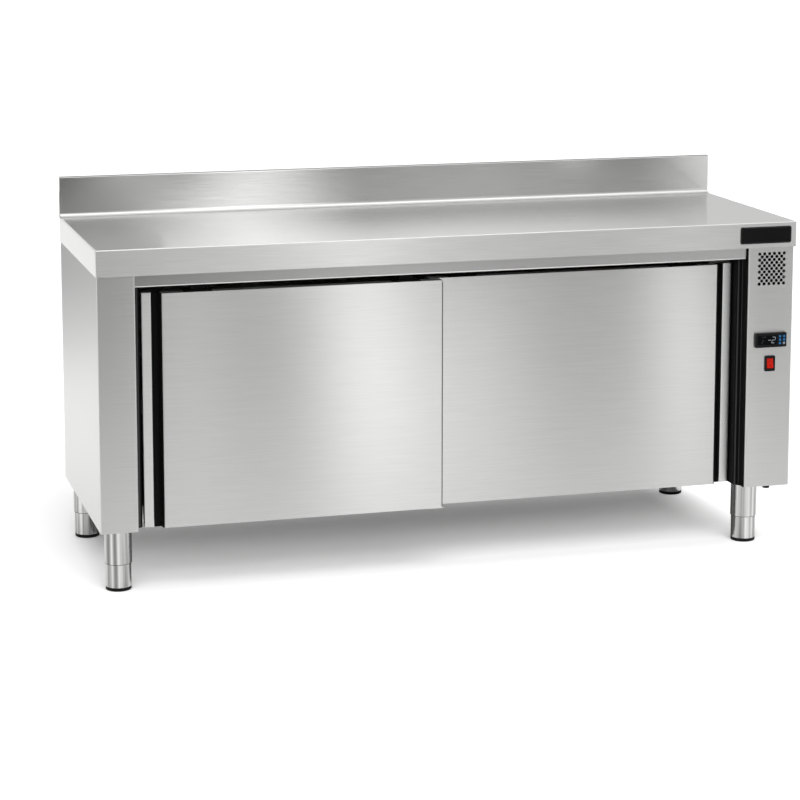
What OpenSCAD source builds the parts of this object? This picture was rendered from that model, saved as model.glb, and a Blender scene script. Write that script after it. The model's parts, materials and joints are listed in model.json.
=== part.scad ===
// Hot cupboard: a heated stainless steel cabinet with a worktop, two sliding doors and a control column.
// The origin is on the floor under the middle of the worktop. +X points right, +Y to the back, +Z up.

/* [Worktop] */
// Width of the worktop over its side aprons
top_w = 1800; // [1400:10:2200]
// Depth of the worktop from its apron to the back of its upstand
top_d = 600; // [560:5:750]
// Height of the work surface above the floor
top_h = 840; // [800:5:900]
// Drop of the apron round the worktop
apron_h = 65; // [50:1:80]
// Height of the rear upstand above the work surface
upstand_h = 104; // [60:1:150]
// Depth of the fold along the top of the upstand
upstand_t = 15; // [10:1:25]
// Drop of the hem behind the upstand
upstand_hem = 20; // [10:1:40]
// Radius of the cove between the work surface and the upstand
cove_r = 12; // [6:1:20]
// Height of the stiffeners under the worktop
stiffener_h = 28; // [20:1:36]
// Width of the stiffeners under the worktop
stiffener_w = 50; // [40:1:70]

/* [Sheet metal] */
// Thickness of the outer sheet
sheet = 1.5; // [1:0.1:2]
// Thickness of the lining and of the door sheets
liner = 1.2; // [0.8:0.1:1.5]
// Inside radius of the folds
bend_r = 2; // [1:0.25:2.5]

/* [Body] */
// Clear height under the body
leg_h = 150; // [130:5:200]
// Width of the left front stile
stile_w = 92; // [80:1:120]
// Width of the control column
column_w = 124; // [120:1:160]
// Distance that the right side stands in from the edge of the worktop
side_inset = 6; // [3:0.5:12]
// Height of the fascia that shows under the apron
fascia_h = 30; // [20:1:45]
// Depth of the fascia behind the front of the body
fascia_setback = 10; // [4:0.5:10]
// Depth of the fold along the lower edge of the fascia
fascia_lip = 8; // [6:0.5:9]
// Open joint between the fascia and the control column
fascia_joint = 4; // [1:0.5:6]
// Depth of the first return of each door jamb
jamb_depth = 36; // [30:1:45]
// Width of the step in each door jamb
jamb_step = 13; // [9:1:20]
// Width of the rear folds of the side panels
rear_fold = 20; // [12:1:30]
// Height of the edges of the base tray
tray_h = 25; // [15:1:32]

/* [Doors] */
// Thickness of a door
door_t = 30; // [28:1:34]
// Depth of the front door's face behind the front of the body
door_setback = 12; // [9:1:16]
// Gap between the two doors
door_gap = 5; // [3:0.5:8]
// Gap between the rear door and the mouth of the chamber
mouth_gap = 12; // [6:1:20]
// Gap above the doors, under the fascia
door_top_gap = 17; // [10:1:22]
// Height of the doors' lower edge above the underside of the body
door_bottom_gap = 2; // [1:0.5:4]
// Gap between the left jamb and the left door
left_gap = 5; // [3:0.5:15]
// Gap between the right jamb and the right door
right_gap = 4.5; // [2:0.5:10]
// Thickness of the black seals on the right jamb
seal_t = 1.5; // [0.8:0.1:1.6]
// Play between the left jamb's seal and the left door
seal_play = 2.5; // [1.5:0.5:2.8]
// Distance of the doors' meeting line from the middle of the opening, to the left
meeting_shift = 22; // [0:1:40]
// Overlap of the two doors
door_overlap = 25; // [15:1:40]
// Width of the black finger pull
pull_w = 21; // [18:0.5:26]
// Least thickness of the finger pull at the door's face
pull_edge = 1.5; // [1:0.1:3]
// Width of the folded edge strip beside the finger pull
strip_w = 26; // [16:0.5:30]
// Depth of the edge strip behind the door's face
strip_depth = 18; // [16:0.5:20]
// Width of the guide groove in the doors' lower edges
groove_w = 8; // [6:0.5:10]
// Depth of the guide groove
groove_h = 14; // [10:1:20]

/* [Door gear] */
// Diameter of the hanger wheels
wheel_d = 22; // [18:1:24]
// Width of a hanger wheel
wheel_w = 6; // [4:0.5:6.5]
// Diameter of the wheel axle
axle_d = 6; // [4:0.5:8]
// Radial clearance of shafts in their bores
running_gap = 0.05; // [0.02:0.01:0.1]
// Clearance between parts that pass or rest on each other
clearance = 0.3; // [0.2:0.05:0.4]
// Thickness of a hanger's stem
stem_t = 5; // [4:0.5:6]
// Width of a hanger's stem
stem_w = 36; // [24:1:60]
// Length of a hanger's foot plate
hanger_foot = 70; // [60:1:120]
// Distance of the hangers from the ends of a door's face
hanger_inset = 90; // [60:1:200]
// Width of one track channel
track_w = 27; // [26:0.5:29]
// Height of the track
track_h = 34; // [32:1:36]
// Wall of the track
track_wall = 2; // [1.5:0.1:2.2]
// Slot along the underside of a track channel
track_slot = 10; // [8:0.5:11]
// Height of the track's fixing face above the lower edge of the fascia
track_rise = 45; // [42:1:55]
// Thickness of the guide fins in the door grooves
fin_t = 4; // [2:0.5:5]
// Height of the guide fins
fin_h = 10; // [6:1:11]
// Length of the guide fins
fin_l = 18; // [10:1:22]

/* [Chamber] */
// Space for insulation under the chamber
floor_gap = 38; // [34:1:60]
// Space for insulation behind the chamber
rear_gap = 35; // [20:1:60]
// Height of the chamber's ceiling below the lower edge of the fascia
ceiling_drop = 10; // [5:1:20]
// Thickness of the insulation above the chamber
ceiling_fill = 30; // [20:1:45]
// Depth of the fan bay beside the chamber
fan_bay = 57; // [52:1:80]
// Height of the shelf above the chamber's floor
shelf_rise = 268; // [180:1:340]
// Height of the shelf's folded edges
shelf_edge = 25; // [15:1:35]
// Play round the shelf
shelf_play = 4; // [2:0.5:8]
// Width of the shelf rails
rail_w = 18; // [12:1:25]

/* [Fan and heater] */
// Diameter of the impeller
impeller_d = 160; // [120:2:180]
// Length of the impeller's blades along the shaft
blade_l = 32; // [20:1:34]
// Count of the impeller's blades
blades = 9; // [6:1:12]
// Diameter of the fan shaft
shaft_d = 8; // [6:0.5:10]
// Diameter of the fan motor
motor_d = 82; // [60:1:100]
// Length of the fan motor
motor_l = 58; // [40:1:80]
// Mean diameter of the ring heater
heater_d = 214; // [204:2:240]
// Diameter of the heater's tube
heater_tube = 8; // [6:0.5:9]
// Diameter of the heater's two terminal sleeves
sleeve_d = 12; // [11:0.5:14]

/* [Controls] */
// Distance of the controls' centre line from the middle of the column, to the right
control_shift = 1.5; // [0:0.5:6]
// Pitch of the grille's holes across the column
grille_pitch_x = 13.5; // [12:0.5:16]
// Pitch of the grille's holes up the column
grille_pitch_z = 15.5; // [13:0.5:17]
// Holes along each side of the grille
grille_n = 6; // [3:1:6]
// Diameter of the grille's holes
grille_hole = 8.5; // [5:0.25:8.5]
// Depth of the grille's middle below the apron
grille_drop = 55; // [50:1:80]
// Width of the controller's face
ctrl_w = 86.4; // [80:0.4:96]
// Height of the controller's face
ctrl_h = 37.4; // [35:0.4:44]
// Distance that the controller stands proud
ctrl_proud = 6; // [5:0.5:9]
// Depth of the controller's middle below the apron
ctrl_drop = 240; // [160:1:300]
// Depth of the controller's case behind the panel
ctrl_case = 58; // [40:1:80]
// Side of a square key
key_s = 5.4; // [4:0.1:6]
// Distance between the two columns of keys
key_pitch_x = 11.3; // [9:0.1:12]
// Distance between the rows of keys
key_pitch_z = 8.9; // [8.4:0.1:10]
// Distance of the keys' middle from the controller's right edge
key_edge = 12.6; // [11.6:0.1:14]
// Distance that a key stands proud of the controller
key_proud = 0.7; // [0.4:0.1:1.5]
// Width of the switch bezel
switch_w = 28.2; // [24:0.2:34]
// Height of the switch bezel
switch_h = 40.2; // [38:0.2:48]
// Distance that the switch bezel stands proud
switch_proud = 3; // [2:0.5:5]
// Drop of the switch bezel below the controller's lower edge
switch_drop = 22.8; // [6:0.2:160]
// Width of the red rocker
rocker_w = 16.6; // [12:0.2:18]
// Height of the red rocker
rocker_h = 26.6; // [20:0.2:28]
// Resting tilt of the rocker
rocker_tilt = 9; // [4:1:12]
// Width of the badge plate
badge_w = 140; // [80:1:150]
// Height of the badge plate
badge_h = 43; // [20:1:46]
// Thickness of the badge plate
badge_t = 1; // [0.5:0.1:2]
// Distance of the badge plate from the right edge of the worktop
badge_inset = 15; // [8:0.5:40]

/* [Legs] */
// Diameter of the leg tubes
tube_d = 67; // [60:0.5:72]
// Wall of the leg tubes
tube_wall = 1.5; // [1.2:0.1:2]
// Height of the leg tubes' lower end above the floor
tube_z = 67; // [60:1:80]
// Radial play of a foot in its leg tube
foot_play = 0.7; // [0.5:0.1:2.5]
// Thickness of the black pad under a foot
pad_h = 8.7; // [5:0.1:12]
// Length of a foot that is held in its tube
foot_grip = 13; // [11:1:20]
// Diameter of the height spindle
spindle_d = 16; // [10:0.5:20]
// Distance of the legs from the front, the back and the left side of the body
leg_inset = 48; // [40:1:70]
// Distance of the right legs from the right side
leg_inset_right = 104; // [60:1:110]

/* [Cable entry] */
// Bore of the cable gland
gland_bore = 10; // [6:0.5:12]
// Diameter of the gland's thread
gland_thread = 16; // [15:0.5:20]
// Drop of the gland under the body
gland_drop = 15; // [10:1:25]

/* [Hidden] */
$fn = 64;

steel = "silver";
lining = "lightgray";
black = "#151515";

// Outer faces of the body and of its folds
x_left = -top_w / 2 + sheet;
x_right = top_w / 2 - side_inset;
y_front = -top_d / 2 + sheet;
y_back = top_d / 2 - sheet;
z_base = leg_h;
z_apron = top_h - apron_h;
z_under = top_h - sheet;
z_panel = z_under - bend_r;
fold_r = bend_r + sheet;
fold_room = 0.3 * bend_r;
y_upstand = top_d / 2 - upstand_t;

// The door opening
x_stile = x_left + stile_w;
x_column = x_right - column_w;
x_jamb_l = x_stile + jamb_step;
x_jamb_r = x_column - jamb_step;
y_step = y_front + jamb_depth;
y_fascia = y_front + fascia_setback;
z_fascia = z_apron - fascia_h;

// The doors
z_door = [z_base + door_bottom_gap, z_fascia - door_top_gap];
y_door_l = y_front + door_setback;
y_door_r = y_door_l + door_t + door_gap;
x_meet = (x_jamb_l + x_jamb_r) / 2 - meeting_shift;
edge_w = pull_w + strip_w;
face_l = [x_jamb_l + left_gap + edge_w, x_meet];
face_r = [x_meet - door_overlap, x_jamb_r - right_gap - edge_w];
y_mouth = y_door_r + door_t + mouth_gap;

// The jamb seals, clear of the bends and of the door track
seal_room = fold_r + 0.5;
y_seal = [y_step + seal_room, y_mouth - seal_room];
z_seal = z_fascia - 5;
bead_w = 1.6;
bead_t = 0.8;

// The door gear
z_track = z_fascia + track_rise;
z_ledge = z_track - track_h + track_wall;
z_axle = z_ledge + clearance + wheel_d / 2;
hanger_plate = 3;
hanger_foot_w = 22;
stem_rise = 3.5;
carrier_flange = 22;
carrier_foot = 16;
guide_t = 2;
guide_w = 40;
guide_reach = 40;
x_guide = x_meet - door_overlap / 2;

// The chamber
z_floor = z_base + sheet + floor_gap;
z_deck = z_floor + liner;
z_ceiling = z_fascia - ceiling_drop;
y_rear = y_back - sheet - liner - rear_gap - liner;
x_baffle = x_jamb_r - fan_bay;
z_shelf = z_deck + shelf_rise;
y_tray_back = y_back - sheet - liner;
y_fan = (y_mouth + y_rear) / 2;
z_fan = (z_deck + z_ceiling) / 2;
baffle_step = 6;
tail_half = 14;
tail_z = -sqrt(pow(heater_d / 2, 2) - pow(tail_half, 2));
tail_l = 24;
sleeve_lead = sleeve_d / 2 + 1;
probe_d = 8;
probe_l = 36;
probe_drop = 40;
probe_collar = 4;
fan_back = 10;
fan_sheet = 1.5;
motor_plate = 3;
motor_rim = 17;
motor_cap = 8;
shaft_room = 3;
hub_wall = 11;

// The controls
x_control = (x_column + x_right) / 2 + control_shift;
z_grille = z_apron - grille_drop;
z_ctrl = z_apron - ctrl_drop;
z_switch = z_ctrl - ctrl_h / 2 - switch_drop - switch_h / 2;
y_ctrl = y_front - ctrl_proud;
ctrl_bezel = 7.6;
ctrl_fit = 0.4;
ctrl_body = [ctrl_w - 2 * ctrl_bezel, ctrl_h - ctrl_bezel];
key_wall = 2;
key_rim = 1.8;
key_flange = 1;
key_floor = 0.6;
x_keys = x_control + ctrl_w / 2 - key_edge;
keys_w = key_pitch_x + key_s + 2 * key_rim;
window_t = 1.2;
window_h = ctrl_h - 13;
window_edge = 6;
window_w = ctrl_w - 2 * window_edge - keys_w;
window_sink = 0.2;
y_rocker = y_front + 1;
rocker_play = 0.5;
rocker_pin = 3;
rocker_rise = 6;
rocker_back = 4;
pin_reach = 1.5;
pin_room = 0.5;
bezel_corner = 3;
badge_corner = 5;
switch_lip = 1.4;
switch_body = 28;

// The legs
x_leg = [x_left + leg_inset, x_right - leg_inset_right];
y_leg = [y_front + leg_inset, y_back - leg_inset];
foot_d = tube_d - 2 * tube_wall - 2 * foot_play;
foot_wall = 2;
foot_plate = 5;
tube_cap = 3;
spindle_z = tube_z - 7;
pad_r = 2.5;

// The cable entry
gland_inset = [44, 42];
x_gland = x_right - gland_inset[0];
y_gland = y_front + gland_inset[1];
gland_collar = 3;
gland_body = 2;
nut_rim = 3;
nut_h = 5;
thread_end = 3;

// A box between two corners
module block(a, b) translate(a) cube(b - a);

// A flat outline drawn in Y and Z, carried along X
module along_x(x0, x1) translate([x0, 0, 0]) rotate([90, 0, 90]) linear_extrude(x1 - x0) children();

// A flat outline drawn in X and Z, carried along Y
module along_y(y0, y1) translate([0, y1, 0]) rotate([90, 0, 0]) linear_extrude(y1 - y0) children();

// A flat outline drawn in X and Y, carried along Z
module along_z(z0, z1) translate([0, 0, z0]) linear_extrude(z1 - z0) children();

// A round bar along X
module bar_x(x0, x1, d) translate([x0, 0, 0]) rotate([0, 90, 0]) cylinder(h = x1 - x0, d = d);

// A round bar along Y
module bar_y(y0, y1, d) translate([0, y1, 0]) rotate([90, 0, 0]) cylinder(h = y1 - y0, d = d);

function unit(v) = v / norm(v);
function left_of(v) = [-v[1], v[0]];
function cross_z(u, v) = u[0] * v[1] - u[1] * v[0];
function run_in(path, i) = unit(path[i] - path[i - 1]);
function run_out(path, i) = unit(path[i + 1] - path[i]);
function turn(path, i) = atan2(cross_z(run_in(path, i), run_out(path, i)), run_in(path, i) * run_out(path, i));
function inside_r(r, i) = is_list(r) ? r[i - 1] : r;
function face_r_at(path, i, t, r) = inside_r(r, i) + (turn(path, i) < 0 ? t : 0);
function setback(path, i, t, r) = face_r_at(path, i, t, r) * tan(abs(turn(path, i)) / 2);

// A folded sheet seen along its folds. The path follows its outer face, on the left of travel.
module folded(path, t, r) {
  last = len(path) - 1;
  for (i = [0:last - 1]) {
    dir = run_out(path, i);
    from = i == 0 ? 0 : setback(path, i, t, r);
    to = norm(path[i + 1] - path[i]) - (i == last - 1 ? 0 : setback(path, i + 1, t, r));
    translate(path[i]) rotate(atan2(dir[1], dir[0])) translate([from, -t]) square([to - from, t]);
  }
  for (i = [1:last - 1]) bend(path, i, t, r);
}

// One round bend of a folded sheet
module bend(path, i, t, r) {
  way = run_in(path, i);
  swing = turn(path, i);
  out = -left_of(way) * sign(swing);
  start = atan2(out[1], out[0]);
  rim = inside_r(r, i) + t;
  translate(path[i] - way * setback(path, i, t, r) - out * face_r_at(path, i, t, r)) intersection() {
    difference() {
      circle(rim);
      circle(inside_r(r, i));
    }
    polygon([[0, 0], each [for (k = [0:2]) 2 * rim * [cos(start + swing * k / 2), sin(start + swing * k / 2)]]]);
  }
}

// A rectangle about the origin with round corners
module rounded(w, h, r) {
  square([w - 2 * r, h], center = true);
  square([w, h - 2 * r], center = true);
  for (sx = [-1, 1], sy = [-1, 1]) translate([sx * (w / 2 - r), sy * (h / 2 - r)]) circle(r);
}

// The sliver outside a rounded corner that points to +X and +Y, with its corner at the origin
module corner_sliver(r) {
  translate([-r, -r]) difference() {
    square(r + 1);
    circle(r);
  }
}

// The worktop: apron, work surface, cove and upstand are one folded sheet, with welded sides
module worktop() {
  path = [[-top_d / 2, z_apron], [-top_d / 2, top_h], [y_upstand, top_h], [y_upstand, top_h + upstand_h],
    [top_d / 2, top_h + upstand_h], [top_d / 2, top_h + upstand_h - upstand_hem]];
  color(steel) difference() {
    union() {
      along_x(-top_w / 2, top_w / 2) folded(path, sheet, [bend_r, cove_r, bend_r, bend_r]);
      for (side = [0, 1]) mirror([side, 0, 0]) worktop_side();
    }
    for (side = [0, 1]) mirror([side, 0, 0]) worktop_side_edges();
    along_x(-top_w / 2 - 1, top_w / 2 + 1) translate([-top_d / 2, top_h]) mirror([1, 0]) corner_sliver(fold_r);
  }
}

// Side apron and end cap of the upstand, on the right
module worktop_side() {
  cap_h = upstand_h + apron_h;
  block([top_w / 2 - sheet, -top_d / 2, z_apron], [top_w / 2, top_d / 2, top_h]);
  along_x(top_w / 2 - sheet, top_w / 2) {
    translate([y_upstand, z_apron]) square([upstand_t, cap_h - fold_r]);
    translate([y_upstand + fold_r, z_apron]) square([upstand_t - 2 * fold_r, cap_h]);
    for (y = [y_upstand + fold_r, top_d / 2 - fold_r]) translate([y, z_apron + cap_h - fold_r]) circle(fold_r);
  }
}

// What the rounding of the right edge and of the front corner takes away
module worktop_side_edges() {
  along_y(-top_d / 2 - 1, y_upstand - cove_r) translate([top_w / 2, top_h]) corner_sliver(fold_r);
  along_z(z_apron - 1, top_h + 1) translate([top_w / 2, -top_d / 2]) mirror([0, 1]) corner_sliver(fold_r);
}

// Two hat sections under the work surface
module worktop_stiffeners() {
  foot = stiffener_w / 2;
  inset = 60;
  span = 240;
  low = z_under - stiffener_h;
  half = stiffener_w / 2;
  color(steel) for (y = [-span / 2, span / 2]) along_x(x_left + inset, x_right - inset) translate([y, 0])
    folded([[-half - foot, z_under], [-half, z_under], [-half, low], [half, low], [half, z_under],
      [half + foot, z_under]], sheet, bend_r);
}

// The left side, the front stile and the stepped jamb are one folded sheet
module left_panel() {
  path = [[x_jamb_l, y_mouth], [x_jamb_l, y_step], [x_stile, y_step], [x_stile, y_front],
    [x_left, y_front], [x_left, y_back], [x_left + rear_fold, y_back]];
  color(steel) along_z(z_base, z_panel) folded(path, sheet, bend_r);
}

// The right side with its folded edges; the front fold is notched over the base tray
module right_panel() {
  front = y_front + rear_fold + clearance;
  path = [[x_right - rear_fold, y_back], [x_right, y_back], [x_right, front], [x_right - rear_fold, front]];
  color(steel) difference() {
    along_z(z_base, z_panel) folded(path, sheet, bend_r);
    block([x_right - rear_fold - 1, front - 1, z_base - 1],
      [x_right + 1, front + fold_r, z_base + tray_h + clearance]);
  }
}

// The front of the control column with the right-hand stepped jamb
module control_panel() {
  path = [[x_right, y_front + rear_fold], [x_right, y_front], [x_column, y_front], [x_column, y_step],
    [x_jamb_r, y_step], [x_jamb_r, y_mouth]];
  color(steel) difference() {
    along_z(z_base, z_panel) folded(path, sheet, bend_r);
    grille_holes();
    along_y(y_front - 1, y_front + sheet + 1) {
      translate([x_control, z_ctrl]) square(ctrl_body + 2 * [ctrl_fit, ctrl_fit], center = true);
      translate([x_control, z_switch]) square(switch_cut(ctrl_fit), center = true);
    }
  }
}

// Width and height of the switch body with some room on each side
function switch_cut(room) = [switch_w - 2 * switch_lip + 2 * room, switch_h - 2 * switch_lip + 2 * room];

// Two interleaved square fields of holes
module grille_holes() {
  for (n = [grille_n, grille_n - 1]) for (i = [0:n - 1], k = [0:n - 1])
    translate([x_control + (i - (n - 1) / 2) * grille_pitch_x, 0, z_grille + (k - (n - 1) / 2) * grille_pitch_z])
      bar_y(y_front - 1, y_front + sheet + 1, grille_hole, $fn = 24);
}

// The back, inside the folds of the two sides, which also closes the back of the upstand
module back_panel() {
  color(steel) block([x_left + sheet + bend_r, y_tray_back, z_base],
    [x_right - sheet - bend_r, y_tray_back + liner, top_h + upstand_h - upstand_hem / 2]);
}

// Outline of the base tray: it reaches forward under the stile and under the column
module tray_outline(inset) {
  room = sheet + fold_room + inset;
  difference() {
    translate([x_left + room, y_front + room])
      square([x_right - x_left - 2 * room, y_tray_back - inset - y_front - room]);
    translate([x_stile - room, y_front - 1]) square([x_column - x_stile + 2 * room, y_mouth + inset - y_front + 1]);
  }
}

// The base tray that the legs carry
module base_tray() {
  color(steel) difference() {
    along_z(z_base, z_base + tray_h) tray_outline(0);
    along_z(z_base + sheet, z_base + tray_h + 1) tray_outline(sheet);
    translate([x_gland, y_gland, z_base - 1]) cylinder(h = sheet + 2, d = gland_thread + 2 * clearance);
  }
}

// The fascia above the doors, folded under at its lower edge
module door_header() {
  color(steel) along_x(x_stile, x_column - fascia_joint)
    folded([[y_fascia + fascia_lip, z_fascia], [y_fascia, z_fascia], [y_fascia, z_panel]], sheet, bend_r);
}

// The folded sheet that carries the door track and closes the front of the chamber's top
module track_carrier() {
  top = z_ceiling + liner;
  path = [[y_mouth + carrier_foot, top], [y_mouth, top], [y_mouth, z_track], [y_fascia + sheet, z_track],
    [y_fascia + sheet, z_track + carrier_flange]];
  color(steel) along_x(x_jamb_l, x_jamb_r) folded(path, sheet, bend_r);
}

// Two track channels under one fixing strip
module door_track() {
  middle = [y_door_l + door_t / 2, y_door_r + door_t / 2];
  inner = track_w - 2 * track_wall;
  color("gainsboro") along_x(x_jamb_l + clearance, x_jamb_r - clearance) difference() {
    union() {
      translate([middle[0], z_track - track_wall]) square([middle[1] - middle[0], track_wall]);
      for (y = middle) translate([y - track_w / 2, z_track - track_h]) square([track_w, track_h]);
    }
    for (y = middle) {
      translate([y - inner / 2, z_ledge]) square([inner, track_h - 2 * track_wall]);
      translate([y - track_slot / 2, z_track - track_h - 1]) square([track_slot, track_wall + 2]);
    }
  }
}

// The guide under the base, with one fin in the groove of each door
module bottom_guide() {
  color(steel) {
    block([x_guide - guide_w / 2, y_door_l + door_t / 2 - fin_t, z_base - guide_t],
      [x_guide + guide_w / 2, y_mouth + guide_reach, z_base]);
    for (y = [y_door_l + door_t / 2, y_door_r + door_t / 2])
      block([x_guide - fin_l / 2, y - fin_t / 2, z_base - guide_t],
        [x_guide + fin_l / 2, y + fin_t / 2, z_door[0] + fin_h]);
  }
}

// Rubber seals that line the jambs, with a bead down the right-hand step
module jamb_seals() {
  bead_x = (x_jamb_r + x_column) / 2;
  color(black) {
    block([x_jamb_l, y_seal[0], z_base], [x_jamb_l + left_gap - seal_play, y_seal[1], z_seal]);
    block([x_jamb_r - seal_t, y_seal[0], z_base], [x_jamb_r, y_seal[1], z_seal]);
    block([x_column - seal_t, y_front + seal_room, z_base], [x_column, y_step - seal_room, z_panel]);
    block([bead_x - bead_w / 2, y_step - bead_t, z_base], [bead_x + bead_w / 2, y_step, z_panel]);
  }
}

// The chamber's floor, with a lip down to the front of the base tray
module chamber_floor() {
  color(lining) {
    block([x_jamb_l - liner, y_mouth, z_floor], [x_jamb_r + liner, y_rear + liner, z_deck]);
    block([x_jamb_l, y_mouth, z_base + tray_h], [x_jamb_r, y_mouth + liner, z_floor]);
  }
}

module chamber_left_wall() {
  color(lining) block([x_jamb_l - liner, y_mouth, z_deck], [x_jamb_l, y_rear, z_ceiling]);
}

module chamber_rear_wall() {
  color(lining) block([x_jamb_l - liner, y_rear, z_deck], [x_jamb_r + liner, y_rear + liner, z_ceiling]);
}

module chamber_ceiling() {
  color(lining) block([x_jamb_l - liner, y_mouth, z_ceiling], [x_jamb_r + liner, y_rear + liner, z_ceiling + liner]);
}

// The wall between the fan bay and the control column
module partition() {
  color(lining) difference() {
    block([x_jamb_r, y_mouth, z_deck], [x_jamb_r + liner, y_rear, z_ceiling]);
    translate([0, y_fan, z_fan]) {
      bar_x(x_jamb_r - 1, x_jamb_r + liner + 1, shaft_d + 2 * shaft_room);
      heater_tails() bar_x(x_jamb_r - 1, x_jamb_r + liner + 1, sleeve_d + 2 * clearance);
    }
    at_probe() bar_x(x_jamb_r - 1, x_jamb_r + liner + 1, probe_d + 2 * clearance);
  }
}

// The folded cover of the fan bay, with an intake of holes and rows of outlet slots
module air_baffle() {
  front = y_mouth + baffle_step;
  path = [[x_jamb_r, y_rear], [x_baffle, y_rear], [x_baffle, front], [x_jamb_r, front]];
  slot_w = 8;
  slot_h = 60;
  slot_pitch = 78;
  slot_inset = 36;
  rings = 4;
  ring_pitch = 16;
  hole = 10;
  color(lining) difference() {
    along_z(z_deck, z_ceiling) mirror([0, 1]) folded([for (p = path) [p[0], -p[1]]], liner, bend_r);
    translate([0, y_fan, z_fan]) for (ring = [0:rings], k = [0:max(1, 6 * ring) - 1])
      rotate([360 * k / max(1, 6 * ring), 0, 0]) translate([0, ring * ring_pitch, 0])
        bar_x(x_baffle - 1, x_baffle + liner + 1, hole, $fn = 24);
    for (y = [front + slot_inset, y_rear - slot_inset], k = [-2:2])
      translate([x_baffle - 1, y - slot_w / 2, z_fan + k * slot_pitch - slot_h / 2])
        cube([liner + 2, slot_w, slot_h]);
  }
}

// The shelf, a pan turned upside down
module mid_shelf() {
  a = [x_jamb_l + shelf_play, y_mouth + shelf_play, z_shelf - shelf_edge];
  b = [x_baffle - shelf_play, y_rear - shelf_play, z_shelf];
  color(lining) difference() {
    block(a, b);
    block(a + [liner, liner, -1], b - [liner, liner, liner]);
  }
}

// Outline of the angle on the left wall that carries the shelf
module rail() folded([[0, -rail_w], [0, 0], [rail_w, 0]], liner, bend_r);

// Two angles that carry the shelf, one on each side wall
module shelf_rails() {
  low = z_shelf - shelf_edge;
  y0 = y_mouth + shelf_play;
  y1 = y_rear - shelf_play;
  color(lining) {
    along_y(y0, y1) translate([x_jamb_l, low]) rail();
    along_y(y0, y1) translate([x_baffle, low]) mirror([1, 0]) rail();
  }
}

// Mineral wool slabs round the chamber
module insulation() {
  fill = z_ceiling + liner + ceiling_fill;
  color("khaki") {
    block([x_jamb_l, y_mouth + sheet + clearance, z_base + sheet], [x_jamb_r, y_rear, z_floor]);
    block([x_left + sheet, y_mouth, z_floor], [x_jamb_l - liner, y_rear, z_ceiling]);
    block([x_jamb_l - liner, y_rear + liner, z_floor], [x_jamb_r, y_tray_back, z_ceiling]);
    block([x_jamb_l, y_mouth + carrier_foot + clearance, z_ceiling + liner], [x_jamb_r, y_rear, fill]);
  }
}

// Four leg tubes, each with a closed top and a fixed height spindle
module leg_tubes() {
  color(steel) for (x = x_leg, y = y_leg) translate([x, y, 0]) {
    difference() {
      translate([0, 0, tube_z]) cylinder(h = z_base - tube_z, d = tube_d);
      translate([0, 0, tube_z - 1]) cylinder(h = z_base - tube_cap - tube_z + 1, d = tube_d - 2 * tube_wall);
    }
    translate([0, 0, spindle_z]) cylinder(h = z_base - tube_cap - spindle_z, d = spindle_d);
  }
}

// An adjustable foot: a sleeve with a threaded top plate and a closed lower end
module foot(i, k) {
  top = tube_z + foot_grip;
  floor = pad_h + foot_wall;
  color(steel) translate([x_leg[i], y_leg[k], 0]) difference() {
    translate([0, 0, pad_h]) cylinder(h = top - pad_h, d = foot_d);
    translate([0, 0, floor]) cylinder(h = top - foot_plate - floor, d = foot_d - 2 * foot_wall);
    translate([0, 0, top - foot_plate - 1]) cylinder(h = foot_plate + 2, d = spindle_d + 2 * running_gap);
  }
}

// The black pad that a foot stands on, with a rounded rim
module pad(i, k) {
  r = foot_d / 2;
  color(black) translate([x_leg[i], y_leg[k], 0]) rotate_extrude() {
    square([r - pad_r, pad_h]);
    translate([0, pad_r]) square([r, pad_h - pad_r]);
    translate([r - pad_r, pad_r]) circle(pad_r);
  }
}

// The controller: a bezel on the panel and a case behind it
module controller_case() {
  keys_h = 2 * key_pitch_z + key_s + 2 * key_rim;
  hole = key_s / 2 + clearance;
  color(black) difference() {
    union() {
      along_y(y_ctrl, y_front) translate([x_control, z_ctrl]) rounded(ctrl_w, ctrl_h, bezel_corner);
      along_y(y_front, y_front + ctrl_case) translate([x_control, z_ctrl]) square(ctrl_body, center = true);
    }
    at_window() block([-window_w / 2, y_ctrl - 1, -window_h / 2], [window_w / 2, y_ctrl + window_t, window_h / 2]);
    translate([x_keys, 0, z_ctrl]) block([-keys_w / 2, y_ctrl + key_wall, -keys_h / 2],
      [keys_w / 2, y_front - key_floor, keys_h / 2]);
    for (n = [1:6]) at_key(n) block([-hole, -ctrl_proud - 1, -hole], [hole, key_wall - ctrl_proud + 1, hole]);
  }
}

// The middle of the display window
module at_window() translate([x_control - ctrl_w / 2 + window_edge + window_w / 2, 0, z_ctrl]) children();

// The dark display window, set flush into the bezel
module controller_window() {
  room = clearance / 2;
  color("#20262c") at_window() block([room - window_w / 2, y_ctrl + window_sink, room - window_h / 2],
    [window_w / 2 - room, y_ctrl + window_t, window_h / 2 - room]);
}

// The place of key n: two columns of three
module at_key(n) {
  column = (n - 1) % 2;
  row = floor((n - 1) / 2);
  translate([x_keys + (column - 0.5) * key_pitch_x, y_front, z_ctrl + (1 - row) * key_pitch_z]) children();
}

// A key: its cap passes the bezel and a flange behind the wall keeps it in
module key(n) {
  back = key_wall + clearance - ctrl_proud;
  half = key_s / 2;
  rim = half + key_rim / 2;
  color("deepskyblue") at_key(n) {
    block([-half, -ctrl_proud - key_proud, -half], [half, back, half]);
    block([-rim, back, -rim], [rim, back + key_flange, rim]);
  }
}

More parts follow.
